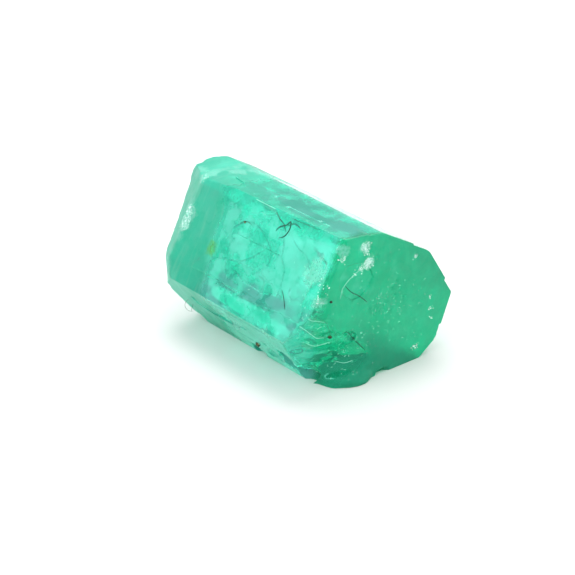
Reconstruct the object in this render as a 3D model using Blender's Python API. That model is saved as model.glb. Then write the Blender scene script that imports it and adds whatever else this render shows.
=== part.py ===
"""Raw emerald crystal: a stubby hexagonal beryl prism lying on one of its prism faces.

Frame: +X runs along the crystal's c axis towards the flat growth end, +Z is up, and the origin is under the
middle of the crystal on the surface it lies on. The -X end is broken off, as it came away from its rock.
All sizes are in metres.
"""

import math

import bmesh
import bpy
from mathutils import Matrix, Vector, noise

MM = 0.001

# The prism: each flat face is given by its turn about the c axis, in degrees from +Y towards +Z, and by its
# distance from that axis. The faces keep close to beryl's 60 degree turns and grew at unequal rates.
AXIS_HEIGHT = 2.70 * MM
PRISM_FACES = {
    "top": (84.5, 2.588 * MM),
    "roof strip": (60.5, 2.262 * MM),
    "upper right": (33.3, 2.577 * MM),
    "lower right": (-22.1, 3.390 * MM),
    "heel strip": (-56.3, 3.328 * MM),
    "bottom": (-90.0, 2.700 * MM),
    "lower left": (-147.7, 3.215 * MM),
    "upper left": (151.5, 2.684 * MM),
}
TAPERS = {"roof strip": 1.0}  # degrees by which a face falls towards the growth end
BLANK_SIZE = Vector((12.0 * MM, 10.0 * MM, 9.0 * MM))

# The flat growth end, and the narrow facet between it and the upper left face.
END_X = 4.50 * MM
END_FACET_TURN = 38.0
END_FACET_BACK = 0.17 * MM

# The broken end: flat breaks, each given by a point on it and the way it looks.
BREAKS = {
    "main": (Vector((-4.44, 0.6, 5.0)) * MM, Vector((-0.965, 0.03, -0.26))),
    "upper left rim": (Vector((-2.93, -2.95, 3.0)) * MM, Vector((-0.45, -0.80, 0.46))),
    "top rim": (Vector((-3.10, -0.5, 5.32)) * MM, Vector((-0.09, -0.05, 0.995))),
    "side rim": (Vector((-2.85, -3.30, 2.2)) * MM, Vector((-0.47, -0.88, 0.02))),
    "foot rim": (Vector((-2.38, -2.10, 0.05)) * MM, Vector((-0.56, -0.36, -0.75))),
}
WORN_EDGE = 0.035 * MM

# The lower left corner of the growth end is broken away too: a point on that break and the way it looks.
CORNER_BREAK = (Vector((4.10, -1.40, 1.35)) * MM, Vector((0.807, -0.391, -0.442)))

# The break flares out at its foot and leaves a rounded shelf, which reaches a little past the growth end.
SHELF = Vector((3.78, -0.82, 0.0)) * MM
SHELF_RADII = Vector((0.96, 1.12, 0.62)) * MM
SHELF_REACH = 1.05 * MM

# Level steps left by growth and etching: height of a step, and how far a cutter stands clear of a face.
STEP = 0.045 * MM
CLEAR = 0.40 * MM
FACE_OVERRUN = 4.0 * MM

MERGE = 1e-8


def new_collection(name):
    """A collection of the scene."""
    coll = bpy.data.collections.new(name)
    bpy.context.scene.collection.children.link(coll)
    return coll


def to_object(bm, name, coll):
    """Turns a bmesh into an object of a collection."""
    bmesh.ops.recalc_face_normals(bm, faces=bm.faces)
    mesh = bpy.data.meshes.new(name)
    bm.to_mesh(mesh)
    bm.free()
    obj = bpy.data.objects.new(name, mesh)
    coll.objects.link(obj)
    return obj


def face_middle(face):
    """How far the middle of a prism face lies, across it, from the foot of the line square from the axis."""
    names = list(PRISM_FACES)
    here = names.index(face)
    angle, reach = PRISM_FACES[face]
    edges = []
    for other in (names[here - 1], names[(here + 1) % len(names)]):
        other_angle, other_reach = PRISM_FACES[other]
        d = math.radians(other_angle - angle)
        edges.append((reach * math.cos(d) - other_reach) / math.sin(d))
    return sum(edges) / 2


def side_frame(face, along, across, turn=0.0):
    """A place on a prism face: local x along c, local y across it from its middle, local z outwards."""
    angle, reach = PRISM_FACES[face]
    a = math.radians(angle)
    fall = math.tan(math.radians(TAPERS.get(face, 0.0)))
    square = Vector((0.0, math.cos(a), math.sin(a)))
    side = Vector((0.0, math.sin(a), -math.cos(a)))
    rise = square * (reach + fall * (END_X - along))
    place = Vector((along, 0.0, AXIS_HEIGHT)) + rise + side * (face_middle(face) + across)
    out = (square + Vector((fall, 0.0, 0.0))).normalized()
    axes = Matrix((side.cross(out), side, out)).transposed().to_4x4()
    return Matrix.Translation(place) @ axes @ Matrix.Rotation(math.radians(turn), 4, "Z")


def end_frame(y, z, turn=0.0):
    """A place on the growth end: local z looks along +X, local x along +Y."""
    axes = Matrix(((0.0, 0.0, 1.0), (1.0, 0.0, 0.0), (0.0, 1.0, 0.0))).to_4x4()
    return Matrix.Translation((END_X, y, z)) @ axes @ Matrix.Rotation(math.radians(turn), 4, "Z")


def cut_flat(bm, place, normal):
    """Takes off what lies beyond a flat face and closes the cut."""
    everything = bm.verts[:] + bm.edges[:] + bm.faces[:]
    cut = bmesh.ops.bisect_plane(
        bm, geom=everything, dist=MERGE, plane_co=place, plane_no=normal, clear_outer=True
    )["geom_cut"]
    rim = [g for g in cut if isinstance(g, bmesh.types.BMEdge)]
    if rim:
        bmesh.ops.edgeloop_fill(bm, edges=rim)


def prism_body(coll):
    """The crystal before any wear: a blank cut back to its prism faces, its growth end and its breaks."""
    bm = bmesh.new()
    middle = Matrix.Translation((0.0, 0.0, AXIS_HEIGHT))
    bmesh.ops.create_cube(bm, size=1.0, matrix=middle @ Matrix.Diagonal((*BLANK_SIZE, 1.0)))
    for face in PRISM_FACES:
        frame = side_frame(face, 0.0, 0.0)
        cut_flat(bm, frame.translation, frame.col[2].to_3d())
    cut_flat(bm, Vector((END_X, 0.0, 0.0)), Vector((1.0, 0.0, 0.0)))
    flank = side_frame("upper left", END_X - END_FACET_BACK, 0.0)
    turn = math.radians(END_FACET_TURN)
    facet = flank.col[2].to_3d() * math.cos(turn) + Vector((math.sin(turn), 0.0, 0.0))
    cut_flat(bm, flank.translation, facet)
    for place, normal in BREAKS.values():
        cut_flat(bm, place, normal.normalized())
    bmesh.ops.bevel(
        bm, geom=bm.edges[:], offset=WORN_EDGE, segments=1, profile=0.5, affect="EDGES", clamp_overlap=True
    )
    return to_object(bm, "emerald_crystal", coll)


def lump(name, frame, size, coll, seed, rough=0.12, grain=1.3, level=2, turn=0.0, on_ground=False):
    """A rounded, uneven lump that breaks a hollow out of the crystal or stands on it."""
    bm = bmesh.new()
    bmesh.ops.create_icosphere(bm, subdivisions=level, radius=1.0)
    shift = Vector((seed * 3.7, seed * 1.9, seed * 5.3))
    for v in bm.verts:
        v.co *= 1.0 + rough * noise.noise(v.co * grain + shift)
    spin = Matrix.Rotation(math.radians(turn), 4, "Z")
    bmesh.ops.transform(bm, matrix=frame @ spin @ Matrix.Diagonal((*size, 1.0)), verts=bm.verts)
    if on_ground:
        cut_flat(bm, Vector((0.0, 0.0, 0.0)), Vector((0.0, 0.0, -1.0)))
    return to_object(bm, name, coll)


def slab(name, frame, length, width, low, high, coll, seed, sides=7, uneven=0.28):
    """A thin slab with an uneven many-sided outline, from one height to another above a face."""
    bm = bmesh.new()
    bmesh.ops.create_cone(bm, cap_ends=True, segments=sides, radius1=1.0, radius2=1.0, depth=1.0)
    for v in bm.verts:
        step = round(math.atan2(v.co.y, v.co.x) / math.tau * sides * 2)
        pull = 1.0 + uneven * noise.noise(Vector((step * 0.83 + seed * 2.17, seed * 1.31, 0.5)))
        v.co.x *= pull
        v.co.y *= pull
    lift = Matrix.Translation((0.0, 0.0, (low + high) / 2))
    scale = Matrix.Diagonal((length / 2, width / 2, high - low, 1.0))
    bmesh.ops.transform(bm, matrix=frame @ lift @ scale, verts=bm.verts)
    return to_object(bm, name, coll)


def ledge(name, face, edge, towards, jog, coll, seed, start=-6.0 * MM, stop=6.0 * MM):
    """A low strip of a prism face, from a jogged line along c to past the face's side."""
    count = 12
    bm = bmesh.new()
    bmesh.ops.create_grid(bm, x_segments=count, y_segments=1, size=0.5)
    for v in bm.verts:
        inner = v.co.y < 0.0
        wander = jog * noise.noise(Vector((v.co.x * count * 0.6, seed * 2.9, 0.4)))
        v.co.x = start + (v.co.x + 0.5) * (stop - start)
        v.co.y = edge + wander if inner else edge + towards * FACE_OVERRUN
        v.co.z = -STEP
    raise_block(bm, CLEAR)
    bmesh.ops.transform(bm, matrix=side_frame(face, 0.0, 0.0), verts=bm.verts)
    return to_object(bm, name, coll)


def rough_break(name, frame, size, relief, grain, cells, coll, seed, shelf=0.0):
    """A block with an uneven, facetted underside that lays a fracture surface across the crystal."""
    bm = bmesh.new()
    bmesh.ops.create_grid(bm, x_segments=cells, y_segments=cells, size=0.5)
    shift = Vector((seed * 4.1, seed * 2.3, seed * 1.7))
    for v in bm.verts:
        v.co = Vector((v.co.x, v.co.y, 0.0)) * size
        spot = v.co / grain + shift
        v.co.z = relief * (1.6 * abs(noise.noise(spot)) - 0.35 + 0.35 * noise.noise(spot * 3.1))
        if shelf:
            away = frame @ v.co - SHELF
            near = math.hypot(away.x / SHELF_RADII.x * 0.6, away.y / SHELF_RADII.y, away.z / SHELF_RADII.z)
            v.co.z += shelf / (1.0 + near ** 6)
    raise_block(bm, FACE_OVERRUN)
    bmesh.ops.transform(bm, matrix=frame, verts=bm.verts)
    return to_object(bm, name, coll)


def raise_block(bm, top):
    """Closes a sheet into a block by drawing a copy of it up to a flat top."""
    lifted = bmesh.ops.extrude_face_region(bm, geom=bm.faces[:])["geom"]
    for v in (g for g in lifted if isinstance(g, bmesh.types.BMVert)):
        v.co.z = top


def break_frame(place, normal):
    """A place on a break: local z looks out of the crystal."""
    return Matrix.Translation(place) @ normal.to_track_quat("Z", "Y").to_matrix().to_4x4()


def groove(name, frame, length, width, depth, coll):
    """A straight striation: a three-sided bar laid along a face with one edge pointing into it."""
    bm = bmesh.new()
    bmesh.ops.create_cone(bm, cap_ends=True, segments=3, radius1=1.0, radius2=1.0, depth=1.0)
    lay = Matrix.Rotation(math.radians(90.0), 4, "Y")
    bmesh.ops.transform(bm, matrix=lay, verts=bm.verts)
    lowest = min(v.co.z for v in bm.verts)
    for v in bm.verts:
        sunk = abs(v.co.z - lowest) < 0.1
        v.co = Vector((v.co.x * length, v.co.y * width / 2, -depth if sunk else depth))
        if sunk:
            v.co.x *= 0.9
    bmesh.ops.transform(bm, matrix=frame, verts=bm.verts)
    return to_object(bm, name, coll)


def pit(name, frame, radius, depth, coll, sides=6):
    """A flat-sided etch pit that narrows inwards."""
    bm = bmesh.new()
    bmesh.ops.create_cone(
        bm, cap_ends=True, segments=sides, radius1=radius * 0.35, radius2=radius * 1.65, depth=depth * 2
    )
    bmesh.ops.transform(bm, matrix=frame, verts=bm.verts)
    return to_object(bm, name, coll)


def shelf_rim(coll):
    """The worn rim of the shelf at the foot of the corner break."""
    middle = Matrix.Translation(SHELF + Vector((0.0, 0.0, 0.10 * MM)))
    size = Vector((SHELF_RADII.x * 0.95, SHELF_RADII.y * 0.95, SHELF_RADII.z * 0.85))
    return lump("shelf rim", middle, size, coll, seed=2, rough=0.12, grain=2.2, level=3, on_ground=True)


def corner_break(coll):
    """The broken lower left corner of the growth end, with a few deeper flakes gone from it."""
    place, normal = CORNER_BREAK
    frame = break_frame(place, normal)
    yield rough_break(
        "corner break", frame, 6.6 * MM, 0.16 * MM, 0.75 * MM, 30, coll, seed=3, shelf=SHELF_REACH
    )
    for name, spot, size, seed, turn in (
        ("upper flake", (4.74, -2.48, 3.30), (0.42, 0.62, 0.52), 5, -20.0),
        ("inner flake", (4.70, -1.56, 1.86), (0.34, 0.62, 0.40), 7, 25.0),
        ("side flake", (4.16, -3.02, 1.42), (0.50, 0.50, 0.44), 9, 40.0),
    ):
        place = Matrix.Translation(Vector(spot) * MM)
        yield lump(name, place, Vector(size) * MM, coll, seed, rough=0.30, turn=turn)


def edge_notches(coll):
    """Bites out of the lower left edge, down to the surface the crystal lies on."""
    spots = (
        ("middle notch", (0.86, -2.36, 0.10), (0.36, 0.50, 0.42), 13, 20.0),
        ("end notch", (3.16, -2.34, 0.26), (0.26, 0.80, 0.50), 15, -38.0),
        ("end cleft", (2.80, -2.56, 0.80), (0.36, 0.34, 0.46), 17, 30.0),
        ("toe notch", (4.60, 0.24, 0.00), (0.30, 0.34, 0.20), 19, 0.0),
    )
    for name, place, size, seed, turn in spots:
        yield lump(
            name, Matrix.Translation(Vector(place) * MM), Vector(size) * MM, coll, seed, rough=0.30, turn=turn
        )


def end_marks(coll):
    """Chips, a curved step and six-sided etch pits on the growth end."""
    for name, y, z, wide, tall, seed in (
        ("upper chip", -0.66, 4.97, 0.27, 0.24, 21),
        ("lower chip", -0.46, 4.36, 0.25, 0.21, 23),
        ("side chip", -0.16, 4.46, 0.09, 0.08, 25),
        ("heel chip", 1.74, 0.49, 0.20, 0.06, 27),
        ("roof chip", 1.63, 3.97, 0.08, 0.08, 29),
    ):
        size = Vector((wide * MM, tall * MM, 0.07 * MM))
        yield lump(name, end_frame(y * MM, z * MM), size, coll, seed, rough=0.35, grain=1.9)
    curve = end_frame(-1.02 * MM, 3.86 * MM)
    yield slab("curved step", curve, 1.35 * MM, 1.30 * MM, -STEP, CLEAR, coll, seed=31, sides=11)
    for k in range(14):
        wander = Vector((noise.noise(Vector((k * 1.7, 0.3, 0.0))), noise.noise(Vector((k * 2.3, 5.1, 0.0)))))
        y = (0.35 + wander.x * 1.7) * MM
        z = (2.55 + wander.y * 1.3) * MM
        radius = (0.06 + 0.05 * abs(math.sin(k * 2.4))) * MM
        yield pit(f"end pit {k}", end_frame(y, z, turn=30.0), radius, radius * 0.45, coll)


def side_steps(coll):
    """Level steps on the prism faces: strips along c, and closed areas drawn out along c."""
    for name, face, edge, towards, jog, seed in (
        ("top ledge", "top", 0.30, 1.0, 0.16, 32),
        ("roof ledge", "roof strip", 0.45, 1.0, 0.22, 34),
        ("right ledge", "upper right", 0.62, 1.0, 0.24, 36),
        ("right low ledge", "lower right", 0.35, 1.0, 0.20, 38),
        ("left ledge", "lower left", -0.80, -1.0, 0.22, 40),
        ("flank ledge", "upper left", -1.25, -1.0, 0.26, 42),
    ):
        yield ledge(name, face, edge * MM, towards, jog * MM, coll, seed)
    for name, face, along, across, length, width, turn, seed, sides in (
        ("far step", "upper left", -2.95, -0.20, 3.40, 6.00, -11.0, 33, 4),
        ("flank step", "upper left", 1.35, -0.55, 2.30, 0.62, -3.0, 35, 7),
        ("top far step", "top", -2.10, -0.35, 1.70, 0.60, 4.0, 39, 7),
        ("right step", "upper right", 0.90, -0.30, 3.60, 0.62, 0.0, 41, 6),
        ("right far step", "lower right", -1.40, -0.25, 2.60, 0.50, 1.0, 43, 6),
        ("left step", "lower left", -0.60, 0.35, 3.40, 0.70, 2.0, 47, 7),
        ("under step", "bottom", -0.40, -0.30, 5.20, 1.20, 3.0, 49, 8),
    ):
        frame = side_frame(face, along * MM, across * MM, turn)
        yield slab(name, frame, length * MM, width * MM, -STEP, CLEAR, coll, seed, sides=sides)


def worn_patches(coll):
    """Rough shallow hollows: by the growth end on the upper left face, and on the rims of the broken end."""
    spots = (
        ("grey patch", "upper left", 3.66, 0.70, 0.62, 0.66, 0.09, 51),
        ("grey patch foot", "upper left", 3.42, -0.15, 0.52, 0.46, 0.08, 53),
        ("ridge dent", "upper left", 0.55, 1.72, 0.72, 0.20, 0.08, 55),
        ("far rim dent", "upper left", -3.10, 1.10, 0.30, 0.46, 0.12, 57),
        ("far rim dent 2", "upper left", -3.22, 0.05, 0.24, 0.42, 0.12, 59),
        ("top frost", "top", -3.30, 0.35, 0.55, 0.48, 0.08, 61),
        ("flank dent", "lower left", 2.10, -0.55, 0.50, 0.42, 0.12, 63),
        ("right dent", "upper right", -2.40, -0.45, 0.70, 0.38, 0.12, 65),
        ("under dent", "bottom", 1.70, 0.60, 0.60, 0.50, 0.10, 67),
    )
    for name, face, along, across, length, width, depth, seed in spots:
        size = Vector((length, width, depth * 1.8)) * MM
        raised = side_frame(face, along * MM, across * MM) @ Matrix.Translation((0.0, 0.0, depth * 0.8 * MM))
        yield lump(name, raised, size, coll, seed, rough=0.45, grain=2.6, level=3)


def striations(coll):
    """Fine grooves along c on the prism faces."""
    lines = (
        ("upper left", 0.90, 0.55, 2.60), ("upper left", 1.90, -0.62, 1.90),
        ("upper left", 0.10, -1.20, 1.80), ("top", 2.20, -0.35, 2.40),
        ("top", -0.90, 0.18, 2.80), ("top", 0.60, 0.62, 4.60),
        ("roof strip", 0.20, -0.40, 5.20), ("roof strip", 1.10, 0.35, 4.10),
        ("upper right", -0.80, 0.78, 4.40), ("upper right", 1.90, -0.70, 3.30),
        ("lower right", 0.30, 0.60, 5.90), ("lower right", 1.40, -0.62, 4.20),
        ("lower right", -1.90, -0.05, 1.90), ("heel strip", 0.40, 0.05, 5.60),
        ("lower left", -0.30, -0.30, 3.60), ("lower left", 0.90, 0.95, 3.20),
    )
    for k, (face, along, across, length) in enumerate(lines):
        frame = side_frame(face, along * MM, across * MM)
        yield groove(f"striation {k}", frame, length * MM, 0.07 * MM, 0.025 * MM, coll)


def side_pits(coll):
    """Small four-sided etch pits on the prism faces, in loose rows along c."""
    counts = {
        "upper left": 7, "top": 5, "roof strip": 6, "upper right": 7,
        "lower right": 6, "lower left": 6, "bottom": 8,
    }
    for seed, (face, count) in enumerate(counts.items(), start=1):
        for k in range(count):
            along = (k + 0.5) / count * 6.2 - 3.0 + 0.5 * noise.noise(Vector((k * 1.37, seed * 3.1, 0.2)))
            across = 0.9 * noise.noise(Vector((k * 2.11, seed * 1.7, 7.7)))
            size = 0.09 + 0.05 * noise.noise(Vector((k * 3.3, seed * 2.3, 4.1)))
            drawn_out = Matrix.Diagonal((1.7, 1.0, 1.0, 1.0)) @ Matrix.Rotation(math.pi / 4, 4, "Z")
            frame = side_frame(face, along * MM, across * MM) @ drawn_out
            yield pit(f"{face} pit {k}", frame, size * MM, 0.035 * MM, coll, sides=4)


def broken_end(coll):
    """The fracture that closes the -X end, and shell-like hollows in it."""
    place, normal = BREAKS["main"]
    frame = break_frame(place, normal.normalized())
    yield rough_break("end fracture", frame, 11.0 * MM, 0.22 * MM, 1.7 * MM, 28, coll, seed=6)
    for name, spot, size, seed, turn in (
        ("shell hollow", (-5.35, 0.90, 3.10), (1.50, 2.10, 1.70), 71, 10.0),
        ("shell hollow low", (-4.70, -0.80, 1.20), (1.10, 1.40, 1.10), 73, -15.0),
        ("shell hollow right", (-4.60, 2.20, 1.30), (1.00, 1.10, 1.10), 75, 20.0),
    ):
        place = Matrix.Translation(Vector(spot) * MM)
        yield lump(name, place, Vector(size) * MM, coll, seed, rough=0.12, level=3, turn=turn)


def combine(body, other, how):
    """Adds or cuts one solid, kept as a modifier until the crystal is finished."""
    mod = body.modifiers.new(other.name, "BOOLEAN")
    mod.object = other
    mod.operation = how
    mod.solver = "MANIFOLD"


def finish(obj, material):
    """Turns the modifiers into the finished mesh and centres the crystal over the origin."""
    deps = bpy.context.evaluated_depsgraph_get()
    mesh = bpy.data.meshes.new_from_object(obj.evaluated_get(deps))
    obj.modifiers.clear()
    bm = bmesh.new()
    bm.from_mesh(mesh)
    bmesh.ops.remove_doubles(bm, verts=bm.verts, dist=MERGE)
    bmesh.ops.triangulate(bm, faces=bm.faces)
    low = [min(v.co[i] for v in bm.verts) for i in range(2)]
    high = [max(v.co[i] for v in bm.verts) for i in range(2)]
    middle = Vector(((low[0] + high[0]) / 2, (low[1] + high[1]) / 2, 0.0))
    bmesh.ops.translate(bm, vec=-middle, verts=bm.verts)
    bm.to_mesh(mesh)
    bm.free()
    obj.data = mesh
    mesh.materials.clear()
    mesh.materials.append(material)


def crystal_material():
    """Bluish green beryl."""
    mat = bpy.data.materials.new("emerald")
    mat.use_nodes = True
    shader = mat.node_tree.nodes["Principled BSDF"]
    shader.inputs["Base Color"].default_value = (0.16, 0.72, 0.48, 1.0)
    shader.inputs["Roughness"].default_value = 0.12
    shader.inputs["IOR"].default_value = 1.577
    shader.inputs["Transmission Weight"].default_value = 0.8
    return mat


for old in list(bpy.data.objects):
    bpy.data.objects.remove(old, do_unlink=True)

crystal_parts = new_collection("raw emerald crystal")
cutters = new_collection("cutters")
crystal = prism_body(crystal_parts)
for make in (side_steps, striations, side_pits, broken_end, corner_break):
    for cutter in make(cutters):
        combine(crystal, cutter, "DIFFERENCE")
combine(crystal, shelf_rim(cutters), "UNION")
for make in (worn_patches, edge_notches, end_marks):
    for cutter in make(cutters):
        combine(crystal, cutter, "DIFFERENCE")
for cutter in cutters.objects:
    cutter.hide_render = True
    cutter.display_type = "WIRE"
finish(crystal, crystal_material())
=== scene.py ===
import math
import random

import bmesh
import bpy
import numpy as np
from mathutils import Matrix, Vector, noise
from mathutils.bvhtree import BVHTree


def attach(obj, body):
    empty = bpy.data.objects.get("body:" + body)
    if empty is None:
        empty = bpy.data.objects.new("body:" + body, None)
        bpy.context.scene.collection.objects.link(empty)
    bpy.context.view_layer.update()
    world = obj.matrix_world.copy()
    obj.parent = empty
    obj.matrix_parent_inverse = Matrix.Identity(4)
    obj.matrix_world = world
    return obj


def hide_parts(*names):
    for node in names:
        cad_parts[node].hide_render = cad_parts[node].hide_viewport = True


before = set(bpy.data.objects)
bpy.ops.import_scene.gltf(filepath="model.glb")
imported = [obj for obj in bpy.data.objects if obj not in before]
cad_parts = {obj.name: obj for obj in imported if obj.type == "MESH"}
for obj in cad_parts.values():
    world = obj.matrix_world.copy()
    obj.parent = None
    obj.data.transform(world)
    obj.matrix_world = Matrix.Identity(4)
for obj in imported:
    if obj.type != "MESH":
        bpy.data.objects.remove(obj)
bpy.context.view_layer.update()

# The crystal: a stubby hexagonal prism of bluish green beryl, lying on a prism face. Its faces grew flat but
# not dead level, its edges are a little worn, and its breaks are facetted like broken glass. It is clear in
# places and milky in others: a deeper green in the etched growth end, a grey green band at the far end.
MM = 0.001
FACET = 0.14 * MM
MERGE = 1e-8
CUTTING_ROUNDS = 9
REST = 0.05 * MM
EDGE_WEAR, EDGE_ROUNDS = 0.35, 2
FAR_END = -2.9 * MM
FAR_WEAR, FAR_ROUNDS = 0.5, 10
SWELL = 0.007 * MM
SWELL_LENGTH = 1.1 * MM
GRAIN_SWELL = 0.4
GRAIN_RATIO = 2.7
CREASE = math.radians(16)


def link(name, mesh):
    """A new object of a mesh, in the scene."""
    piece = bpy.data.objects.new(name, mesh)
    bpy.context.scene.collection.objects.link(piece)
    return piece


def refined(node_name, name, longest):
    """A copy of a CAD node with its corners merged and every edge cut down to a longest length."""
    cut = bmesh.new()
    cut.from_mesh(bpy.data.objects[node_name].data)
    bmesh.ops.remove_doubles(cut, verts=cut.verts, dist=MERGE)
    for _ in range(CUTTING_ROUNDS):
        long_edges = [edge for edge in cut.edges if edge.calc_length() > longest]
        if not long_edges:
            break
        bmesh.ops.subdivide_edges(cut, edges=long_edges, cuts=1)
        bmesh.ops.triangulate(cut, faces=[face for face in cut.faces if len(face.verts) > 3])
    mesh = bpy.data.meshes.new(name)
    cut.to_mesh(mesh)
    cut.free()
    return link(name, mesh)


def worn(mesh, chosen, factor, times):
    """Rounds a mesh where its points are chosen, as wear does."""
    rounded = bmesh.new()
    rounded.from_mesh(mesh)
    for _ in range(times):
        vertices = [vertex for vertex in rounded.verts if chosen(vertex.co)]
        bmesh.ops.smooth_vert(rounded, verts=vertices, factor=factor,
                              use_axis_x=True, use_axis_y=True, use_axis_z=True)
    rounded.to_mesh(mesh)
    rounded.free()


crystal = refined("emerald_crystal", "crystal_body", FACET)
worn(crystal.data, lambda spot: spot.z > REST, EDGE_WEAR, EDGE_ROUNDS)
worn(crystal.data, lambda spot: spot.z > REST and spot.x < FAR_END, FAR_WEAR, FAR_ROUNDS)
count = len(crystal.data.vertices)
places = np.empty(count * 3)
crystal.data.vertices.foreach_get("co", places)
places = places.reshape(count, 3)
outward = np.empty(count * 3)
crystal.data.vertex_normals.foreach_get("vector", outward)
outward = outward.reshape(count, 3)
swell = np.array([
    noise.noise(Vector(spot) / SWELL_LENGTH)
    + GRAIN_SWELL * noise.noise(Vector(spot) / SWELL_LENGTH * GRAIN_RATIO)
    for spot in places
])
swell[places[:, 2] < REST] = 0.0
places += outward * (SWELL * swell)[:, None]
crystal.data.vertices.foreach_set("co", places.ravel())
crystal.data.update()
crystal.data.shade_smooth()
crystal.data.set_sharp_from_angle(angle=CREASE)

# How the camera stands. Marks on the near side are placed by picture points, in pixels from the picture's top
# left corner, as they are seen on the real crystal, and each is found on the skin along the camera's ray.
PICTURE = 575
SENSOR = 36.0
LENS = 100.0
FOCAL = PICTURE * LENS / SENSOR
AZIMUTH = math.radians(50)
ELEVATION = math.radians(25)
DISTANCE = 55.9 * MM
MIDDLE = Vector((0.17, 0.0, 2.8)) * MM
AIM_RIGHT = -0.364 * MM
AIM_UP = -0.987 * MM

back = Vector((
    math.sin(AZIMUTH) * math.cos(ELEVATION), -math.cos(AZIMUTH) * math.cos(ELEVATION), math.sin(ELEVATION)
))
right = Vector((math.cos(AZIMUTH), math.sin(AZIMUTH), 0.0))
eye = MIDDLE + back * DISTANCE
aim = MIDDLE + right * AIM_RIGHT + back.cross(right) * AIM_UP
gaze = (eye - aim).to_track_quat("Z", "Y")
skin = BVHTree.FromPolygons(
    [vertex.co.copy() for vertex in crystal.data.vertices],
    [tuple(face.vertices) for face in crystal.data.polygons],
)


def placed(point):
    """A point (x, y, z) in millimetres as it is, or the place on the skin at a picture point (x, y)."""
    if len(point) == 3:
        return Vector(point)
    ray = gaze @ Vector((point[0] - PICTURE / 2, PICTURE / 2 - point[1], -FOCAL)).normalized()
    return skin.ray_cast(eye, ray)[0] / MM


def new_material(name):
    """A material, its shader and its node tree."""
    material = bpy.data.materials.new(name)
    material.use_nodes = True
    return material, material.node_tree.nodes["Principled BSDF"], material.node_tree


def feed(tree, socket, value):
    """Sets an input socket, or links it where the value is another socket."""
    if isinstance(value, bpy.types.NodeSocket):
        tree.links.new(value, socket)
    else:
        socket.default_value = value


def add(tree, kind, **inputs):
    """A node with its inputs set or linked by name; _ stands for a space in a name."""
    made = tree.nodes.new(kind)
    for key, value in inputs.items():
        feed(tree, made.inputs[key.replace("_", " ")], value)
    return made


def calc(tree, operation, *values):
    """The result of a math node."""
    made = tree.nodes.new("ShaderNodeMath")
    made.operation = operation
    for socket, value in zip(made.inputs, values):
        feed(tree, socket, value)
    return made.outputs[0]


def vector(tree, operation, first, second):
    """The node of a vector calculation; a scale takes its number in its own socket."""
    made = tree.nodes.new("ShaderNodeVectorMath")
    made.operation = operation
    feed(tree, made.inputs[0], first)
    feed(tree, made.inputs["Scale"] if operation == "SCALE" else made.inputs[1], second)
    return made


def ramp(tree, value, low, high):
    """A mask that rises smoothly from 0 at one value to 1 at another."""
    made = add(tree, "ShaderNodeMapRange", Value=value)
    made.interpolation_type = "SMOOTHSTEP"
    for label, number in (("From Min", low), ("From Max", high)):
        feed(tree, made.inputs[label], number)
    return made.outputs["Result"]


def blend(tree, share, first, second):
    """A colour between two colours, with a share of the second."""
    made = tree.nodes.new("ShaderNodeMix")
    made.data_type = "RGBA"
    for index, value in ((0, share), (6, first), (7, second)):
        feed(tree, made.inputs[index], value)
    return made.outputs[2]


def tinted(tree, colour, mask, share, tint):
    """A colour with a share of a tint laid over it where a mask is full."""
    return blend(tree, calc(tree, "MULTIPLY", mask, share), colour, tint)


def place_of(tree):
    """The shaded point's place on its object, in millimetres."""
    return vector(tree, "SCALE", tree.nodes.new("ShaderNodeTexCoord").outputs["Object"], 1.0 / MM).outputs[0]


def group(name, sockets_in, sockets_out):
    """An empty shader node group with its inputs and outputs."""
    tree = bpy.data.node_groups.new(name, "ShaderNodeTree")
    for direction, sockets in (("INPUT", sockets_in), ("OUTPUT", sockets_out)):
        for label, kind, default in sockets:
            socket = tree.interface.new_socket(label, in_out=direction, socket_type="NodeSocket" + kind)
            if default is not None:
                socket.default_value = default
    return tree, tree.nodes.new("NodeGroupInput"), tree.nodes.new("NodeGroupOutput")


def use(tree, node_group, **inputs):
    """The outputs of a group node, its inputs set or linked by name."""
    made = tree.nodes.new("ShaderNodeGroup")
    made.node_tree = node_group
    for key, value in inputs.items():
        feed(tree, made.inputs[key.replace("_", " ")], value)
    return made.outputs


# mottle: clouds of a given size along and across the c axis, as a mask. Lengths are in millimetres.
mottle, given, result = group(
    "mottle",
    [("Place", "Vector", None), ("Along", "Float", 1.0), ("Across", "Float", 1.0), ("Low", "Float", 0.4),
     ("High", "Float", 0.6), ("Detail", "Float", 4.0)],
    [("Mask", "Float", None)],
)
per_along = calc(mottle, "DIVIDE", 1.0, given.outputs["Along"])
per_across = calc(mottle, "DIVIDE", 1.0, given.outputs["Across"])
frequency = add(mottle, "ShaderNodeCombineXYZ", X=per_along, Y=per_across, Z=per_across)
stretched = vector(mottle, "MULTIPLY", given.outputs["Place"], frequency.outputs[0])
clouds = add(mottle, "ShaderNodeTexNoise", Vector=stretched.outputs[0], Scale=1.0,
             Detail=given.outputs["Detail"])
feed(mottle, result.inputs["Mask"],
     ramp(mottle, clouds.outputs["Fac"], given.outputs["Low"], given.outputs["High"]))

# patch: a ragged spot of a given reach round a point, as a mask that fades from its core to its edge.
CORE, EDGE = 0.45, 1.15
patch, given, result = group(
    "patch",
    [("Place", "Vector", None), ("Middle", "Vector", None), ("Reach", "Float", 1.0), ("Rags", "Float", 0.0)],
    [("Mask", "Float", None)],
)
apart = vector(patch, "DISTANCE", given.outputs["Place"], given.outputs["Middle"])
ragged = calc(patch, "ADD", calc(patch, "DIVIDE", apart.outputs["Value"], given.outputs["Reach"]),
              given.outputs["Rags"])
feed(patch, result.inputs["Mask"], calc(patch, "SUBTRACT", 1.0, ramp(patch, ragged, CORE, EDGE)))

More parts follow.
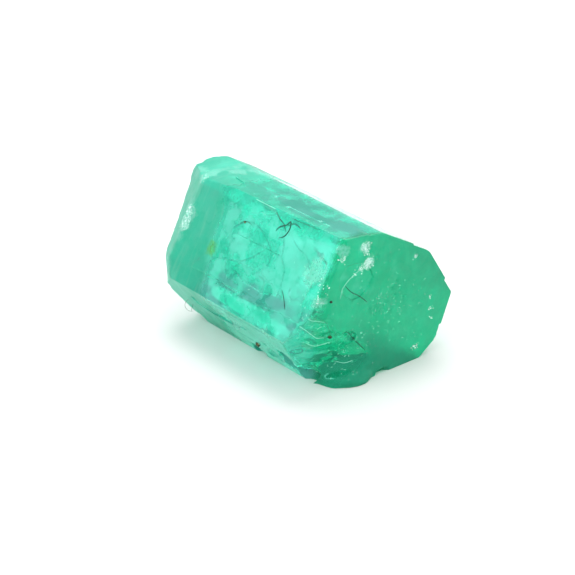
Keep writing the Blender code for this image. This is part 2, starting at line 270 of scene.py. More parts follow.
# jardin: the crackled garden of inclusions in the clear part, as a brightness for each cell and its cracks.
CRACK_WIDTH = 0.07
BEND_SCALE = 1.1
jardin, given, result = group(
    "jardin",
    [("Place", "Vector", None), ("Cell", "Float", 1.0), ("Bend", "Float", 0.5)],
    [("Cells", "Float", None), ("Cracks", "Float", None)],
)
bends = add(jardin, "ShaderNodeTexNoise", Vector=given.outputs["Place"], Scale=BEND_SCALE, Detail=4.0)
centred = vector(jardin, "SUBTRACT", bends.outputs["Color"], (0.5, 0.5, 0.5))
shift = vector(jardin, "SCALE", centred.outputs[0], calc(jardin, "MULTIPLY", given.outputs["Bend"], 2.0))
bent = vector(jardin, "ADD", given.outputs["Place"], shift.outputs[0])
per_cell = calc(jardin, "DIVIDE", 1.0, given.outputs["Cell"])
cells = add(jardin, "ShaderNodeTexVoronoi", Vector=bent.outputs[0], Scale=per_cell)
channels = add(jardin, "ShaderNodeSeparateColor", Color=cells.outputs["Color"])
feed(jardin, result.inputs["Cells"], channels.outputs[0])
seams = add(jardin, "ShaderNodeTexVoronoi", Vector=bent.outputs[0], Scale=per_cell)
seams.feature = "DISTANCE_TO_EDGE"
closeness = calc(jardin, "SUBTRACT", 1.0, ramp(jardin, seams.outputs["Distance"], 0.0, CRACK_WIDTH))
feed(jardin, result.inputs["Cracks"], closeness)

# beryl itself: how it bends, tints and absorbs light
BERYL_IOR = 1.577
CLEARNESS = 0.68
REFLECTION_TINT = (0.25, 1.0, 0.82, 1.0)
ABSORPTION_TINT = (0.10, 0.96, 0.80, 1.0)
ABSORPTION = 120.0
beryl, shader, tree = new_material("beryl")
shader.inputs["IOR"].default_value = BERYL_IOR
shader.inputs["Transmission Weight"].default_value = CLEARNESS
shader.inputs["Specular Tint"].default_value = REFLECTION_TINT
absorption = add(tree, "ShaderNodeVolumeAbsorption", Color=ABSORPTION_TINT, Density=ABSORPTION)
tree.links.new(absorption.outputs["Volume"], tree.nodes["Material Output"].inputs["Volume"])

place = place_of(tree)
split = add(tree, "ShaderNodeSeparateXYZ", Vector=place)
along, height = split.outputs["X"], split.outputs["Z"]
shake = add(tree, "ShaderNodeTexNoise", Vector=place, Scale=1.4, Detail=3.0).outputs["Fac"]
shake = calc(tree, "SUBTRACT", shake, 0.5)
RAGGEDNESS = 2.4
rags = add(tree, "ShaderNodeTexNoise", Vector=place, Scale=2.8, Detail=4.0).outputs["Fac"]
rags = calc(tree, "MULTIPLY", calc(tree, "SUBTRACT", rags, 0.5), RAGGEDNESS)
streaks = use(tree, mottle, Place=place, Along=3.5, Across=0.34, Low=0.36, High=0.64, Detail=5.0)["Mask"]
clouding = use(tree, mottle, Place=place, Along=0.85, Across=1.15, Low=0.38, High=0.60, Detail=3.0)["Mask"]
dapple = use(tree, mottle, Place=place, Along=0.34, Across=0.42, Low=0.32, High=0.70, Detail=2.5)["Mask"]

# the milky share of the light, from deep to bright green by cells, clouds, cracks and streaks
SIDE_TINT = (0.07, 0.90, 0.66, 1.0)
BRIGHT_TINT = (0.25, 1.0, 0.86, 1.0)
DEEP_TINT = (0.015, 0.70, 0.48, 1.0)
COARSE_CELL, FINE_CELL = 1.15, 0.50
COARSE_LIGHT, FINE_LIGHT, CLOUD_LIGHT = 0.35, 0.20, 0.40
DEEPEST, BRIGHTEST = 0.20, 0.78
EVENNESS = 0.30
COARSE_CRACKS, FINE_CRACKS, STREAKS = 0.40, 0.25, 0.25
coarse = use(tree, jardin, Place=place, Cell=COARSE_CELL, Bend=0.55)
fine = use(tree, jardin, Place=place, Cell=FINE_CELL, Bend=0.45)
brightness = calc(tree, "MULTIPLY", fine["Cells"], FINE_LIGHT)
brightness = calc(tree, "MULTIPLY_ADD", coarse["Cells"], COARSE_LIGHT, brightness)
brightness = calc(tree, "MULTIPLY_ADD", clouding, CLOUD_LIGHT, brightness)
colour = blend(tree, ramp(tree, brightness, DEEPEST, BRIGHTEST), DEEP_TINT, BRIGHT_TINT)
colour = blend(tree, EVENNESS, colour, SIDE_TINT)
colour = tinted(tree, colour, coarse["Cracks"], COARSE_CRACKS, DEEP_TINT)
colour = tinted(tree, colour, fine["Cracks"], FINE_CRACKS, BRIGHT_TINT)
colour = tinted(tree, colour, streaks, STREAKS, BRIGHT_TINT)


def patchwork(patches, combine, start):
    """Goes through patches of a point and a reach, and combines each one's mask with what came before."""
    so_far = start
    for point, reach in patches:
        spot = use(tree, patch, Place=place, Middle=placed(point), Reach=reach, Rags=rags)["Mask"]
        so_far = combine(so_far, spot)
    return so_far


# painted light and painted shade: bright patches where light comes back through the upper faces, dull patches
# where less comes back; in part they are where inclusions hold the light
LIT_PATCHES = (
    # picture point, reach in millimetres
    ((239, 243), 0.50),
    ((213, 292), 0.50),
    ((293, 257), 0.60),
    ((291, 239), 0.40),
    ((295, 290), 0.60),
    ((245, 301), 0.22),
    ((264, 274), 0.34),
    ((233, 214), 0.40),
    ((278, 308), 0.50),
    ((284, 332), 0.45),
    ((220, 263), 0.30),
    ((325, 247), 0.40),
    ((215, 190), 0.60),
    ((345, 228), 0.70),
    ((341, 216), 0.60),
    ((300, 270), 0.45),
    ((340, 235), 0.45),
    ((208, 284), 0.30),
)
DULL_SHADE_PATCHES = (
    ((233, 270), 0.42),
    ((268, 292), 0.30),
    ((226, 300), 0.34),
    ((233, 312), 0.55),
    ((260, 306), 0.36),
    ((284, 223), 0.32),
    ((302, 223), 0.40),
    ((316, 233), 0.34),
    ((269, 332), 0.28),
    ((264, 234), 0.34),
    ((310, 290), 0.24),
)
LIT_SHARE, DULL_SHADE_SHARE = 0.75, 0.70
# the lit patches lay painted light over the colour, the dull patches lay painted shade
colour = patchwork(LIT_PATCHES, lambda base, spot: tinted(tree, base, spot, LIT_SHARE, BRIGHT_TINT), colour)
colour = patchwork(DULL_SHADE_PATCHES, lambda base, spot: tinted(tree, base, spot, DULL_SHADE_SHARE, DEEP_TINT), colour)

# the grey green band at the far end, combed across; its limit leans with the face, and a dark seam runs there
BAND_TINT = (0.045, 0.50, 0.33, 1.0)
FROST_AND_HIGHLIGHT_TINT = (0.50, 0.96, 0.85, 1.0)
BAND_LEAN = 0.217
BAND_LIMIT = -0.48
BAND_BLUR = 0.25
SEAM_PLACE = 0.12
SEAM_CORE, SEAM_EDGE = 0.03, 0.14
SEAM_SHAKE = 0.5
BAND_SHARE, COMBING_SHARE, DAPPLE_SHARE, SEAM_SHARE = 0.65, 0.28, 0.30, 0.45
limit = calc(tree, "MULTIPLY_ADD", height, BAND_LEAN, calc(tree, "ADD", along, -BAND_LIMIT))
band = calc(tree, "SUBTRACT", 1.0, ramp(tree, calc(tree, "ADD", shake, limit), -BAND_BLUR, BAND_BLUR))
combing = use(tree, mottle, Place=place, Along=0.30, Across=2.4, Low=0.50, High=0.75, Detail=2.0)["Mask"]
seam = calc(tree, "SUBTRACT", calc(tree, "MULTIPLY_ADD", shake, SEAM_SHAKE, limit), SEAM_PLACE)
seam = calc(tree, "SUBTRACT", 1.0, ramp(tree, calc(tree, "ABSOLUTE", seam), SEAM_CORE, SEAM_EDGE))
colour = tinted(tree, colour, band, BAND_SHARE, BAND_TINT)
colour = tinted(tree, colour, calc(tree, "MULTIPLY", band, combing), COMBING_SHARE, FROST_AND_HIGHLIGHT_TINT)
colour = tinted(tree, colour, calc(tree, "MULTIPLY", band, dapple), DAPPLE_SHARE, DEEP_TINT)
colour = tinted(tree, colour, seam, SEAM_SHARE, DEEP_TINT)

# the top face, more even than the others, and the roof strip beyond it, which is pale along the far shoulder
ROOF_TINT = (0.34, 0.98, 0.84, 1.0)
TOP_FROM, TOP_FULL = 5.05, 5.20
ROOF_FACING = (0.017, 0.492, 0.871)
ROOF_FROM, ROOF_FULL = 4.60, 4.65
PALE_FROM, PALE_FULL = -3.4, -2.2
TOP_SHARE, ROOF_SHARE = 0.55, 0.70
colour = tinted(tree, colour, ramp(tree, height, TOP_FROM, TOP_FULL), TOP_SHARE, SIDE_TINT)
shoulder = vector(tree, "DOT_PRODUCT", place, ROOF_FACING).outputs["Value"]
roof = ramp(tree, shoulder, ROOF_FROM, ROOF_FULL)
roof = calc(tree, "MULTIPLY", roof, ramp(tree, along, PALE_FROM, PALE_FULL))
colour = tinted(tree, colour, roof, ROOF_SHARE, ROOF_TINT)

# the etched growth end and the broken corner under it, which takes in more of the crystal the lower it is.
# Its colour is dappled, and painted lighter towards its foot as painted light
END_TINT = (0.012, 0.71, 0.35, 1.0)
END_DEEP_TINT = (0.006, 0.51, 0.23, 1.0)
END_PLANE = 4.37
END_DEPTH = 0.42
BREAK_HEIGHT = 3.0
BREAK_SLOPE = 0.35
END_SHAKE = 0.7
DAPPLE_LIGHT, FOOT_PAINTED_LIGHT = 0.45, 0.75
END_SHARE = 0.92
low = calc(tree, "MAXIMUM", calc(tree, "SUBTRACT", BREAK_HEIGHT, height), 0.0)
low = calc(tree, "MULTIPLY", low, BREAK_SLOPE)
reached = calc(tree, "ADD", calc(tree, "MULTIPLY_ADD", shake, END_SHAKE, along), low)
end = ramp(tree, reached, END_PLANE - END_DEPTH, END_PLANE)
# painted light: the lower the point, the nearer its colour comes to the lighter end tint
end_dapple_and_painted_light = calc(tree, "MULTIPLY_ADD", dapple, DAPPLE_LIGHT, calc(tree, "MULTIPLY", low, FOOT_PAINTED_LIGHT))
end_colour = blend(tree, calc(tree, "MINIMUM", end_dapple_and_painted_light, 1.0), END_DEEP_TINT, END_TINT)
colour = tinted(tree, colour, end, END_SHARE, end_colour)

# frost: the far rim, the rubbed patch by the broken corner, the chips at the top of the growth end, and spots
# on the lower left face; where the far left edge catches the light, its white is a painted highlight
FROST_AND_HIGHLIGHT_PATCHES = (
    # picture point or point in millimetres, reach in millimetres
    ((315, 274), 0.50),
    ((365, 247), 0.19),
    ((369, 262), 0.24),
    ((416, 255), 0.07),
    ((344, 253), 0.26),
    # these two paint the white highlight of the far left edge
    ((189, 210), 0.46),
    ((184, 222), 0.42),
    ((200, 170), 0.34),
    ((212, 172), 0.42),
    ((237, 172), 0.36),
    ((258, 171), 0.40),
    ((265, 333), 0.22),
    ((319, 303), 0.25),
    ((-2.00, -2.60, 1.00), 0.60),
    ((0.20, -2.90, 1.20), 0.45),
)
RIM_PLACE = -3.25
RIM_CORE, RIM_EDGE = 0.04, 0.22
RIM_SHAKE = 0.9
CRUMBLED, EVEN = 0.6, 0.4
FROST_AND_HIGHLIGHT_SHARE = 0.72
rim = calc(tree, "MULTIPLY_ADD", shake, RIM_SHAKE, calc(tree, "ADD", along, -RIM_PLACE))
rim = calc(tree, "SUBTRACT", 1.0, ramp(tree, calc(tree, "ABSOLUTE", rim), RIM_CORE, RIM_EDGE))
frost_and_highlight = calc(tree, "MULTIPLY", rim, dapple)
frost_and_highlight = patchwork(FROST_AND_HIGHLIGHT_PATCHES, lambda base, spot: calc(tree, "MAXIMUM", base, spot), frost_and_highlight)
crumb = use(tree, mottle, Place=place, Along=0.07, Across=0.09, Low=0.35, High=0.62, Detail=4.0)["Mask"]
frost_and_highlight = calc(tree, "MULTIPLY", frost_and_highlight, calc(tree, "MULTIPLY_ADD", crumb, CRUMBLED, EVEN))
colour = tinted(tree, colour, frost_and_highlight, FROST_AND_HIGHLIGHT_SHARE, FROST_AND_HIGHLIGHT_TINT)

# an iron stain on the upper left face
STAIN_TINT = (0.20, 0.60, 0.07, 1.0)
STAIN_POINT, STAIN_REACH = (211, 248), 0.26
STAIN_SHARE = 0.80
stain = use(tree, patch, Place=place, Middle=placed(STAIN_POINT), Reach=STAIN_REACH, Rags=rags)["Mask"]
colour = tinted(tree, colour, stain, STAIN_SHARE, STAIN_TINT)
feed(tree, shader.inputs["Base Color"], colour)

# how far each part is from polished, and the low relief of growth streaks and frost
POLISH = 0.10
ETCHED_ROUGH, BAND_ROUGH, FROST_ROUGH, DAPPLE_ROUGH = 0.34, 0.26, 0.30, 0.05
ETCH_FROM, ETCH_FULL = END_PLANE - 0.12, END_PLANE - 0.02
RELIEF = 0.02 * MM
STREAK_RELIEF, DAPPLE_RELIEF, FROST_RELIEF = 0.5, 0.5, 0.4
etched = calc(tree, "MULTIPLY", end, ramp(tree, along, ETCH_FROM, ETCH_FULL))
rough = POLISH
for mask, share in ((etched, ETCHED_ROUGH), (band, BAND_ROUGH), (frost_and_highlight, FROST_ROUGH), (dapple, DAPPLE_ROUGH)):
    rough = calc(tree, "MULTIPLY_ADD", mask, share, rough)
feed(tree, shader.inputs["Roughness"], rough)
relief = calc(tree, "MULTIPLY", dapple, DAPPLE_RELIEF)
relief = calc(tree, "MULTIPLY_ADD", streaks, STREAK_RELIEF, relief)
relief = calc(tree, "MULTIPLY_ADD", frost_and_highlight, FROST_RELIEF, relief)
bump = add(tree, "ShaderNodeBump", Strength=0.25, Distance=RELIEF, Height=relief)
feed(tree, shader.inputs["Normal"], bump.outputs["Normal"])

crystal.data.materials.clear()
crystal.data.materials.append(beryl)
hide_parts("emerald_crystal")
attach(crystal, "root")

# Veils: cracks inside the crystal that healed with clouds of fluid drops in them. They are thin curved leaves
# that follow the c axis or cut across it, pale green, patchy and half clear.
VEILS = (
    # middle, half sizes (length, width), turn about Z, lean about X, seed
    ((2.6, -1.6, 3.5), (1.15, 0.90), 75, 78, 1),
    ((1.6, -1.3, 3.0), (1.10, 0.80), 62, 70, 2),
    ((0.5, -1.6, 3.3), (0.80, 1.10), 20, 72, 3),
    ((-0.8, -1.2, 3.0), (1.00, 1.20), 85, 80, 4),
    ((-2.3, -0.8, 3.1), (0.90, 1.30), 95, 84, 5),
    ((3.2, 0.4, 2.6), (0.90, 1.10), 88, 75, 6),
    ((1.4, 0.5, 4.1), (1.60, 0.70), 8, 14, 7),
    ((-1.2, 0.4, 4.2), (1.50, 0.80), -10, 18, 8),
    ((2.0, -0.4, 1.3), (1.50, 0.90), 12, 10, 9),
    ((-1.4, -0.6, 1.5), (1.30, 0.90), -14, 16, 10),
    ((3.4, -1.4, 1.9), (0.70, 0.80), 60, 60, 11),
    ((0.3, 1.5, 2.8), (1.50, 1.00), 4, 80, 12),
)
VEIL_THICKNESS = 0.012 * MM
VEIL_WAVE, WAVE_RATE, WAVE_SHIFT = 0.10 * MM, 1.6, 5.1
VEIL_RAGS, RAGS_RATE, RAGS_SHIFT = 0.35, 2.1, 3.7
VEIL_TINT = (0.12, 0.98, 0.80, 1.0)
VEIL_COVER = 0.55


def joined(name, parts, material):
    """One mesh object of several bmesh pieces, with one material."""
    mesh = bpy.data.meshes.new(name)
    whole = bmesh.new()
    for part in parts:
        loose = bpy.data.meshes.new("loose")
        part.to_mesh(loose)
        part.free()
        whole.from_mesh(loose)
        bpy.data.meshes.remove(loose)
    whole.to_mesh(mesh)
    whole.free()
    mesh.materials.append(material)
    mesh.shade_smooth()
    return link(name, mesh)


veil_material, veil_shader, veil_tree = new_material("healed_crack")
veil_shader.inputs["Base Color"].default_value = VEIL_TINT
veil_shader.inputs["Roughness"].default_value = 0.6
wisps = use(veil_tree, mottle, Place=place_of(veil_tree), Along=0.45, Across=0.55, Low=0.40, High=0.66,
            Detail=6.0)["Mask"]
feed(veil_tree, veil_shader.inputs["Alpha"], calc(veil_tree, "MULTIPLY", wisps, VEIL_COVER))

leaves = []
for middle, (half_length, half_width), turn, lean, seed in VEILS:
    leaf = bmesh.new()
    bmesh.ops.create_icosphere(leaf, subdivisions=4, radius=1.0)
    spin = Matrix.Rotation(math.radians(turn), 4, "Z") @ Matrix.Rotation(math.radians(lean), 4, "X")
    for vertex in leaf.verts:
        x, y, z = vertex.co
        edge = 1.0 + VEIL_RAGS * noise.noise(Vector((x * RAGS_RATE, y * RAGS_RATE, seed * RAGS_SHIFT)))
        flat = Vector((x * half_length * edge * MM, y * half_width * edge * MM, z * VEIL_THICKNESS))
        flat.z += VEIL_WAVE * noise.noise(Vector((x * WAVE_RATE, y * WAVE_RATE, seed * WAVE_SHIFT)))
        vertex.co = spin @ flat + Vector(middle) * MM
    leaves.append(leaf)
veils = joined("inner_veils", leaves, veil_material)
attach(veils, "root")

# Crumbs: white splinters of broken beryl that still sit in the chips round the growth end, on the rubbed
# patch by the broken corner and along the far rim, where knocks crushed the edges.
CRUMB_SPOTS = (
    # picture point, reach in millimetres, weight
    ((365, 247), 0.16, 1.0),
    ((367, 253), 0.10, 0.6),
    ((368, 263), 0.20, 1.0),
    ((361, 269), 0.10, 0.6),
    ((354, 275), 0.09, 0.4),
    ((342, 260), 0.14, 0.3),
    ((323, 286), 0.30, 0.04),
    ((320, 302), 0.16, 0.12),
    ((415, 256), 0.06, 1.0),
    ((184, 222), 0.30, 0.35),
    ((189, 210), 0.26, 0.35),
    ((204, 178), 0.22, 0.20),
    ((430, 298), 0.08, 0.6),
    ((430, 308), 0.08, 0.6),
    ((431, 318), 0.06, 0.6),
    ((414, 346), 0.12, 0.7),
)
FADED_AT = 1.3
TILT = 0.35
CROOKEDNESS = 0.3


def weigh(mesh, spots):
    """A weight on each point of a mesh, full near the middle of a spot and nothing well past its reach."""
    points = np.empty(len(mesh.vertices) * 3)
    mesh.vertices.foreach_get("co", points)
    points = points.reshape(-1, 3) / MM
    weights = np.zeros(len(points))
    for point, reach, weight in spots:
        gap = np.linalg.norm(points - np.array(placed(point)), axis=1) / reach
        weights = np.maximum(weights, weight * np.clip(FADED_AT - gap, 0.0, 1.0))
    mesh.attributes.new("weight", "FLOAT", "POINT").data.foreach_set("value", weights.astype(np.float32))


def splinter_group():
    """Geometry nodes that strew small splinters over a mesh where its weight says so, without the mesh."""
    made = bpy.data.node_groups.new("strewn splinters", "GeometryNodeTree")
    made.interface.new_socket("Geometry", in_out="OUTPUT", socket_type="NodeSocketGeometry")
    for label, kind in (("Geometry", "Geometry"), ("Per square metre", "Float"), ("Smallest", "Float"),
                        ("Largest", "Float"), ("Length", "Float"), ("Flatness", "Float"), ("Seed", "Int"),
                        ("Material", "Material")):
        made.interface.new_socket(label, in_out="INPUT", socket_type="NodeSocket" + kind)
    entry, leave = made.nodes.new("NodeGroupInput"), made.nodes.new("NodeGroupOutput")
    weight = add(made, "GeometryNodeInputNamedAttribute", Name="weight")
    amount = calc(made, "MULTIPLY", weight.outputs["Attribute"], entry.outputs["Per square metre"])
    points = add(made, "GeometryNodeDistributePointsOnFaces", Mesh=entry.outputs["Geometry"], Density=amount,
                 Seed=entry.outputs["Seed"])
    splinter = add(made, "GeometryNodeMeshIcoSphere", Radius=1.0, Subdivisions=1)
    size = made.nodes.new("FunctionNodeRandomValue")
    feed(made, size.inputs[2], entry.outputs["Smallest"])
    feed(made, size.inputs[3], entry.outputs["Largest"])
    feed(made, size.inputs["Seed"], entry.outputs["Seed"])
    width = size.outputs[1]
    long_way = calc(made, "MULTIPLY", width, entry.outputs["Length"])
    thin_way = calc(made, "MULTIPLY", width, entry.outputs["Flatness"])
    shape = add(made, "ShaderNodeCombineXYZ", X=long_way, Y=width, Z=thin_way)
    turn = made.nodes.new("FunctionNodeRandomValue")
    turn.data_type = "FLOAT_VECTOR"
    turn.inputs[0].default_value = (-TILT, -TILT, 0.0)
    turn.inputs[1].default_value = (TILT, TILT, 2.0 * math.pi)
    feed(made, turn.inputs["Seed"], entry.outputs["Seed"])
    as_rotation = made.nodes.new("FunctionNodeEulerToRotation")
    feed(made, as_rotation.inputs[0], turn.outputs[0])
    spin = made.nodes.new("FunctionNodeRotateRotation")
    spin.rotation_space = "LOCAL"
    feed(made, spin.inputs[0], points.outputs["Rotation"])
    feed(made, spin.inputs[1], as_rotation.outputs[0])
    strewing = add(made, "GeometryNodeInstanceOnPoints", Points=points.outputs["Points"],
                   Instance=splinter.outputs["Mesh"], Rotation=spin.outputs[0], Scale=shape.outputs[0])
    real = made.nodes.new("GeometryNodeRealizeInstances")
    feed(made, real.inputs[0], strewing.outputs["Instances"])
    dressed = add(made, "GeometryNodeSetMaterial", Geometry=real.outputs[0],
                  Material=entry.outputs["Material"])
    feed(made, leave.inputs["Geometry"], dressed.outputs[0])
    return made


strewn = splinter_group()


def strew(name, spots, material, seed, density, smallest, largest, length, flatness):
    """Splinters over spots on the crystal's skin, as one plain mesh object; sizes in millimetres."""
    base = link(name + "_base", crystal.data.copy())
    weigh(base.data, spots)
    modifier = base.modifiers.new("splinters", "NODES")
    modifier.node_group = strewn
    settings = {"Per square metre": density / (MM * MM), "Smallest": smallest * MM, "Largest": largest * MM,
                "Length": length, "Flatness": flatness, "Seed": seed, "Material": material}
    for item in strewn.interface.items_tree:
        if item.in_out == "INPUT" and item.name in settings:
            modifier[item.identifier] = settings[item.name]
    mesh = bpy.data.meshes.new_from_object(base.evaluated_get(bpy.context.evaluated_depsgraph_get()))
    bpy.data.objects.remove(base)
    mesh.name = name
    draws = random.Random(seed)
    crooked = CROOKEDNESS * smallest * MM
    for vertex in mesh.vertices:
        vertex.co = vertex.co + Vector([draws.uniform(-1.0, 1.0) * crooked for _ in range(3)])
    return link(name, mesh)


def plain_material(name, colour, roughness, alpha=1.0):
    """A material of one colour."""
    material, shader, _ = new_material(name)
    shader.inputs["Base Color"].default_value = (*colour, 1.0)
    shader.inputs["Roughness"].default_value = roughness
    shader.inputs["Alpha"].default_value = alpha
    return material


white_splinters = plain_material("white_splinters", (0.78, 1.0, 0.94), 0.35)
crumbs = strew("edge_crumbs", CRUMB_SPOTS, white_splinters, seed=5, density=1300.0, smallest=0.008,
               largest=0.020, length=1.6, flatness=0.5)
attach(crumbs, "root")

# Etch flecks: shallow bright nicks that natural etching left over the growth end and the broken corner, and a
# few on the upper faces. They are long for their width and lie flat in the skin.
FLECK_SPOTS = (
    # point and reach in millimetres, weight
    ((4.37, 0.30, 2.55), 0.95, 1.0),
    ((4.37, -0.60, 2.20), 0.80, 0.60),
    ((4.37, -0.90, 3.10), 1.30, 0.30),
    ((4.37, 1.50, 2.20), 1.20, 0.30),
    ((4.37, -1.30, 1.30), 1.20, 0.80),
    ((4.20, -2.60, 2.60), 1.10, 0.45),
    ((4.37, 0.60, 4.20), 1.10, 0.12),
    ((1.50, -2.40, 4.00), 2.60, 0.02),
    ((0.00, 0.00, 5.40), 3.00, 0.015),
)
fleck_material = plain_material("etch_flecks", (0.34, 0.98, 0.76), 0.4, 0.6)
flecks = strew("etch_flecks", FLECK_SPOTS, fleck_material, seed=11, density=45.0, smallest=0.005,
               largest=0.014, length=4.5, flatness=0.8)
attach(flecks, "root")

# Hairlines: dark thin cracks and needles that lie open on the growth end and on the upper left face, where a
# tangle of them hangs from the top edge. A tube with tapered ends stands for each.
HAIRLINES = (
    # half thickness in millimetres, picture points
    (0.013, ((345, 286), (351, 292), (359, 296), (367, 302))),
    (0.012, ((345, 332), (354, 339), (365, 350))),
    (0.010, ((325, 355), (333, 350))),
    (0.014, ((277, 212), (280, 219), (284, 224), (286, 232))),
    (0.017, ((276, 231), (280, 227), (287, 225), (291, 222), (290, 229), (285, 236), (279, 238))),
    (0.013, ((288, 226), (295, 224), (301, 229))),
    (0.009, ((240, 224), (246, 221), (252, 225))),
    (0.012, ((282, 290), (284, 299), (285, 310))),
    (0.008, ((292, 218), (300, 222), (308, 225), (319, 230))),
)
HAIRLINE_LIFT = 0.8
STEPS = 6
TIP = 0.35
TAPER = 4.0


def smooth_way(points):
    """Points in millimetres with a smooth curve between them, which goes through each."""
    way = []
    last = len(points) - 1
    for index in range(last):
        before, start = points[max(index - 1, 0)], points[index]
        stop, after = points[index + 1], points[min(index + 2, last)]
        bend = 2 * before - 5 * start + 4 * stop - after
        turn = 3 * start - before - 3 * stop + after
        for step in range(STEPS):
            share = step / STEPS
            way.append(0.5 * (2 * start + (stop - before) * share + bend * share ** 2 + turn * share ** 3))
    return way + [points[-1]]


def thread(way, half_thickness):
    """A thin tube with tapered ends along a way in metres, as a bmesh."""
    path = bpy.data.curves.new("path", "CURVE")
    path.dimensions = "3D"
    path.bevel_depth = half_thickness * MM
    path.bevel_resolution = 2
    path.use_fill_caps = True
    line = path.splines.new("POLY")
    line.points.add(len(way) - 1)
    for index, point in enumerate(way):
        line.points[index].co = (*point, 1.0)
        share = index / (len(way) - 1)
        line.points[index].radius = min(1.0, TIP + TAPER * min(share, 1.0 - share))
    holder = link("path", path)
    mesh = bpy.data.meshes.new_from_object(holder.evaluated_get(bpy.context.evaluated_depsgraph_get()))
    bpy.data.objects.remove(holder)
    made = bmesh.new()
    made.from_mesh(mesh)
    bmesh.ops.remove_doubles(made, verts=made.verts, dist=MERGE)
    bpy.data.meshes.remove(mesh)
    return made


def laid(points, half_thickness, lift):
    """A thread laid on the skin through points, with its middle lifted by a share of its half thickness."""
    way = []
    for point in smooth_way([placed(point) for point in points]):
        nearest, normal, _, _ = skin.find_nearest(point * MM)
        way.append(nearest + normal * half_thickness * lift * MM)
    return thread(way, half_thickness)


hairline_material = plain_material("dark_hairline", (0.004, 0.05, 0.035), 0.5)
hairline_threads = [laid(points, half, HAIRLINE_LIFT) for half, points in HAIRLINES]
hairlines = joined("hairlines", hairline_threads, hairline_material)
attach(hairlines, "root")

# Inner cracks: healed cracks that reach the upper left face, seen on edge as winding deep green lines between
# the clear cells of the crystal. They fade in and out along their way.
INNER_CRACKS = (
    # half thickness in millimetres, picture points
    (0.045, ((227, 234), (236, 226), (247, 222), (256, 224), (264, 234), (269, 246))),
    (0.050, ((213, 257), (227, 259), (240, 261), (253, 257), (264, 250))),
    (0.060, ((204, 274), (218, 279), (231, 286), (244, 292), (258, 301), (271, 306))),
    (0.050, ((256, 274), (264, 281), (260, 292), (256, 297))),
    (0.060, ((280, 228), (284, 243), (282, 257), (284, 270), (280, 288), (271, 306))),
    (0.040, ((291, 234), (298, 248), (307, 257), (309, 274))),
    (0.050, ((224, 292), (227, 306), (238, 314), (253, 319))),
    (0.045, ((267, 239), (271, 252), (267, 266), (256, 274))),
)
CRACK_LIFT = -0.7
CRACK_TINT = (0.02, 0.48, 0.35, 1.0)
CRACK_FAINT, CRACK_STRONG = 0.05, 0.29
crack_material, crack_shader, crack_tree = new_material("inner_crack")
crack_shader.inputs["Base Color"].default_value = CRACK_TINT
crack_shader.inputs["Roughness"].default_value = 0.5
faded = use(crack_tree, mottle, Place=place_of(crack_tree), Along=0.22, Across=0.22, Low=0.36, High=0.64,
            Detail=3.0)["Mask"]
feed(crack_tree, crack_shader.inputs["Alpha"],
     calc(crack_tree, "MULTIPLY_ADD", faded, CRACK_STRONG - CRACK_FAINT, CRACK_FAINT))
crack_threads = [laid(points, half, CRACK_LIFT) for half, points in INNER_CRACKS]
inner_cracks = joined("inner_cracks", crack_threads, crack_material)
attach(inner_cracks, "root")

# Pale cracks and glints: the arc that runs down from the chips is a low thread of crushed crystal. The pale
# line on the worn ridge of the top left edge and the glints in the broken corner are painted highlights, laid
# on as low pale threads too.
PALE_CRACKS_AND_GLINTS = (
    # half thickness in millimetres, picture points
    (0.012, ((362, 268), (354, 275), (348, 281), (342, 290), (340, 299))),
    (0.012, ((256, 199), (266, 204), (276, 209))),
    (0.012, ((306, 314), (313, 321), (323, 322))),
    (0.012, ((300, 326), (308, 332), (316, 338), (324, 338))),
    (0.010, ((306, 343), (316, 346), (330, 342))),
    (0.010, ((334, 361), (344, 363), (353, 360))),
)
PALE_LIFT = 0.1
# painted highlight: the ridge and broken corner threads are pale colour that stands for glints
pale_and_glint_material = plain_material("crushed_crystal_and_glints", (0.36, 0.95, 0.76), 0.5, 0.75)
pale_and_glint_threads = [laid(points, half, PALE_LIFT) for half, points in PALE_CRACKS_AND_GLINTS]
pale_cracks_and_glints = joined("pale_cracks_and_glints", pale_and_glint_threads, pale_and_glint_material)
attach(pale_cracks_and_glints, "root")

# Grains: bits of dark and rusty rock that still hold to the crystal, one at its foot, two near the broken
# corner and one in the upper left face. They are lumps sunk to their middles in the skin.
GRAINS = (
    # picture point, half sizes in millimetres, seed
    ((258, 344), (0.10, 0.07, 0.09), 1),
    ((330, 337), (0.06, 0.07, 0.06), 2),
    ((331, 302), (0.05, 0.05, 0.04), 3),
    ((245, 222), (0.05, 0.04, 0.04), 4),
)
ROCK_TINT = (0.008, 0.025, 0.016, 1.0)
RUST_TINT = (0.26, 0.20, 0.04, 1.0)
LUMPINESS, LUMP_RATE, LUMP_SHIFT = 0.45, 1.7, 4.3
RUST_FROM, RUST_FULL = 0.53, 0.62
grain_material, grain_shader, grain_tree = new_material("rusty_grain")
rust = add(grain_tree, "ShaderNodeTexNoise", Vector=place_of(grain_tree), Scale=16.0, Detail=3.0)
rust = ramp(grain_tree, rust.outputs["Fac"], RUST_FROM, RUST_FULL)
feed(grain_tree, grain_shader.inputs["Base Color"], blend(grain_tree, rust, ROCK_TINT, RUST_TINT))
grain_shader.inputs["Roughness"].default_value = 0.55
lumps = []
for point, half, seed in GRAINS:
    lump = bmesh.new()
    bmesh.ops.create_icosphere(lump, subdivisions=3, radius=1.0)
    middle = placed(point)
    for vertex in lump.verts:
        lumpy = 1.0 + LUMPINESS * noise.noise(vertex.co * LUMP_RATE + Vector((seed * LUMP_SHIFT, 0.0, 0.0)))
        oval = Vector([value * size for value, size in zip(vertex.co, half)])
        vertex.co = (oval * lumpy + middle) * MM
    lumps.append(lump)
grains = joined("rock_grains", lumps, grain_material)
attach(grains, "root")

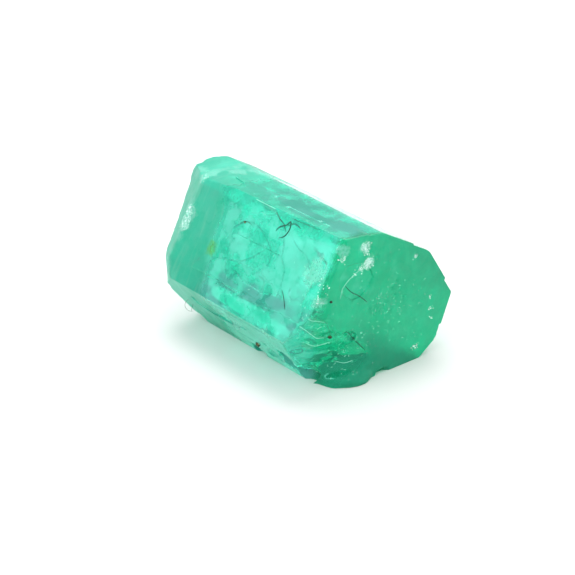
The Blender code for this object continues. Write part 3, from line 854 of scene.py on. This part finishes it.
# Lint: two stray fibres of cloth, caught on the far lower edge of the crystal. Each is one thin bent thread,
# which stands a little off the skin.
FIBRES = (
    # points in millimetres
    ((-2.52, -2.80, 1.12), (-2.58, -2.92, 0.98), (-2.60, -2.92, 0.80), (-2.53, -2.84, 0.66),
     (-2.46, -2.70, 0.60)),
    ((-2.30, -2.78, 1.00), (-2.26, -2.88, 0.86), (-2.34, -2.84, 0.70)),
)
FIBRE_HALF = 0.006
lint_material = plain_material("lint", (0.05, 0.10, 0.07), 0.7)
strands = []
for points in FIBRES:
    way = smooth_way([placed(point) for point in points])
    strands.append(thread([point * MM for point in way], FIBRE_HALF))
lint = joined("lint_fibres", strands, lint_material)
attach(lint, "root")

# The bench: a matt white sheet in a white light tent, which is brightest behind the crystal and darker on the
# side that the faces would mirror, with a broad lamp behind and a weaker one in front.
SHEET = 0.60
PAPER = (0.68, 0.68, 0.68)
BRIGHT_SIDE = (0.60, 0.70, 0.40)
WALL_SIDE = (-0.69, 0.58, 0.42)
TENT_LOW, TENT_HIGH = 0.80, 1.25
WALL_FROM, WALL_FULL = 0.55, 0.95
WALL_DIMMING = 0.55
LAMPS = (
    # name, place, width, watts
    ("back_lamp", (-0.035, 0.045, 0.10), 0.14, 0.14),
    ("fill_lamp", (-0.02, -0.10, 0.10), 0.09, 0.08),
)
bpy.ops.mesh.primitive_plane_add(size=SHEET, location=(0.0, 0.0, 0.0))
sheet = bpy.context.object
sheet.name = "bench_sheet"
sheet.data.materials.append(plain_material("white_paper", PAPER, 0.9))

tent = bpy.data.worlds.new("light_tent")
tent.use_nodes = True
sky = tent.node_tree
sky_way = vector(sky, "DOT_PRODUCT", sky.nodes.new("ShaderNodeTexCoord").outputs["Generated"], BRIGHT_SIDE)
sky_light = add(sky, "ShaderNodeMapRange", Value=sky_way.outputs["Value"])
for label, number in (("From Min", -1.0), ("From Max", 1.0), ("To Min", TENT_LOW), ("To Max", TENT_HIGH)):
    sky_light.inputs[label].default_value = number
wall_way = vector(sky, "DOT_PRODUCT", sky.nodes.new("ShaderNodeTexCoord").outputs["Generated"], WALL_SIDE)
wall = ramp(sky, wall_way.outputs["Value"], WALL_FROM, WALL_FULL)
wall = calc(sky, "MULTIPLY", wall, WALL_DIMMING)
strength = calc(sky, "SUBTRACT", sky_light.outputs["Result"], wall)
sky.nodes["Background"].inputs["Color"].default_value = (1.0, 1.0, 1.0, 1.0)
feed(sky, sky.nodes["Background"].inputs["Strength"], strength)
bpy.context.scene.world = tent

for name, stand, width, watts in LAMPS:
    lamp = bpy.data.lights.new(name, "AREA")
    lamp.shape = "DISK"
    lamp.size = width
    lamp.energy = watts
    lamp_object = link(name, lamp)
    lamp_object.location = Vector(stand)
    lamp_object.rotation_euler = lamp_object.location.to_track_quat("Z", "Y").to_euler()

# The camera: a long macro lens that looks down on the crystal from the left of its growth end. It stands
# where the picture points were read from.
camera = link("camera", bpy.data.cameras.new("camera"))
camera.data.lens = LENS
camera.data.sensor_width = SENSOR
camera.data.clip_start = MM
camera.location = eye
camera.rotation_euler = gaze.to_euler()
bpy.context.scene.camera = camera
bpy.context.scene.view_settings.view_transform = "Standard"
